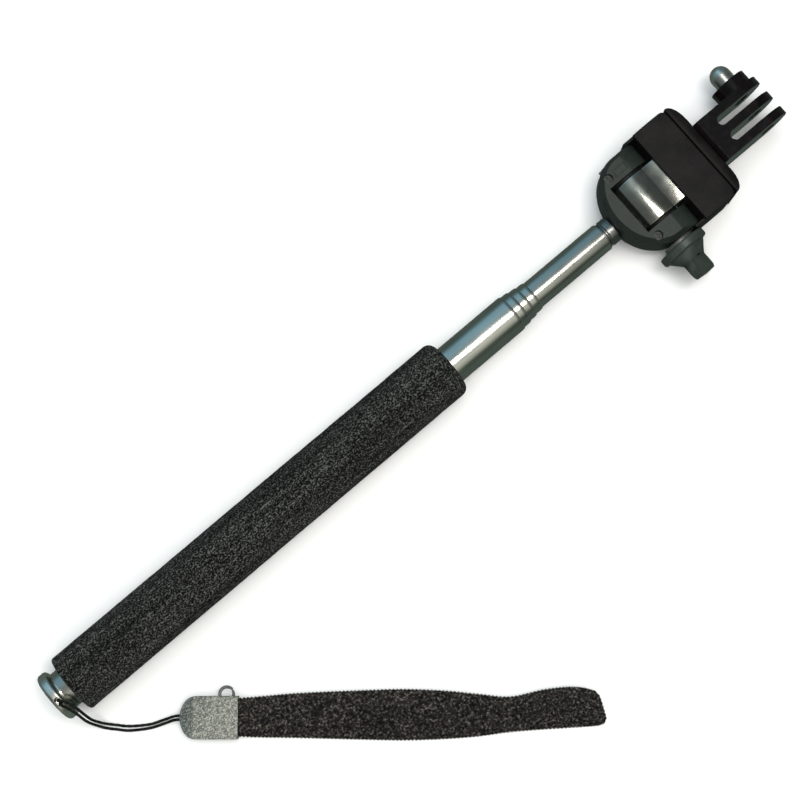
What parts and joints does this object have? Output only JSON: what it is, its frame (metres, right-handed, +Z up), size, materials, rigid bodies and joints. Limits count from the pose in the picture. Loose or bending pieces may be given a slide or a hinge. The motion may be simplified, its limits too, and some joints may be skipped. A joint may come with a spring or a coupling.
{
  "type": "extendable selfie stick",
  "caption": "Extendable hand-held camera pole: foam grip, nested steel tubes, tilting and swivelling head with clamp knob, three-prong camera adapter and wrist strap.",
  "frame": {"origin": "centre of the butt button's flat face, on the pole's axis", "axes": "+X along the pole towards the head, +Y towards the dome nut, +Z up; the pole lies on its foam grip"},
  "size_m": [0.2842, 0.1289, 0.019],
  "materials": {
    "foam": "matte closed-cell foam",
    "tube_steel": "polished stainless",
    "chrome": "mirror plated",
    "screw_steel": "zinc plated",
    "dark_screw": "black oxide",
    "ferrule": "satin",
    "brass": "turned",
    "nylon": "natural nylon",
    "black_plastic": "moulded",
    "head_plastic": "satin moulded",
    "platform_plastic": "fine-textured moulded",
    "pad_rubber": "matte",
    "adapter_plastic": "polished moulded",
    "clip_metal": "sparkle grey",
    "wire_steel": "bright wire",
    "webbing": "knitted",
    "cord": "braided"
  },
  "bodies": {
    "handle": {"foam_grip": "foam", "handle_tube": "tube_steel", "end_plug": "black_plastic", "butt_button": "chrome", "butt_screw": "screw_steel", "cord_strand_a": "cord", "cord_strand_b": "cord", "cord_crimp": "brass", "clip_top": "clip_metal", "clip_bottom": "clip_metal", "wire_ring": "wire_steel", "wrist_webbing": "webbing"},
    "second_tube": {"tube_2": "tube_steel", "sleeve_2": "brass"},
    "third_tube": {"tube_3": "tube_steel", "sleeve_3": "brass"},
    "fourth_tube": {"tube_4": "tube_steel", "sleeve_4": "brass"},
    "thin_tube": {"tube_5": "tube_steel", "sleeve_5": "brass", "neck_ferrule": "ferrule", "swivel_stud": "screw_steel"},
    "head": {"swivel_washer": "nylon", "head_top_shell": "head_plastic", "head_bottom_shell": "head_plastic", "head_screws": "dark_screw", "tilt_bolt": "screw_steel", "friction_washers": "nylon", "knob_washer": "screw_steel"},
    "platform": {"tilt_barrel": "chrome", "platform_block": "platform_plastic", "platform_pad": "pad_rubber", "camera_screw": "screw_steel"},
    "knob": {"clamp_knob": "head_plastic", "knob_nut": "brass"},
    "adapter": {"adapter_body": "adapter_plastic", "adapter_insert": "brass", "dome_nut": "chrome"}
  },
  "joints": [
    {"name": "second_tube_slide", "type": "slide", "parent": "handle", "child": "second_tube", "axis": [1, 0, 0], "range_m": [0, 0.145]},
    {"name": "third_tube_slide", "type": "slide", "parent": "second_tube", "child": "third_tube", "axis": [1, 0, 0], "range_m": [0, 0.145]},
    {"name": "fourth_tube_slide", "type": "slide", "parent": "third_tube", "child": "fourth_tube", "axis": [1, 0, 0], "range_m": [0, 0.145]},
    {"name": "thin_tube_slide", "type": "slide", "parent": "fourth_tube", "child": "thin_tube", "axis": [1, 0, 0], "range_m": [0, 0.145]},
    {"name": "head_swivel", "type": "hinge", "parent": "thin_tube", "child": "head", "pos_m": [0.2196, 0, 0], "axis": [1, 0, 0], "continuous": true},
    {"name": "head_tilt", "type": "hinge", "parent": "head", "child": "platform", "pos_m": [0.2323, 0, 0], "axis": [0, 1, 0], "range_deg": [-90, 90]},
    {"name": "knob_turn", "type": "hinge", "parent": "head", "child": "knob", "pos_m": [0.2323, -0.0172, 0], "axis": [0, -1, 0], "range_deg": [0, 270]},
    {"name": "adapter_turn", "type": "hinge", "parent": "platform", "child": "adapter", "pos_m": [0.258, 0, 0], "axis": [1, 0, 0], "range_deg": [-180, 180]}
  ]
}
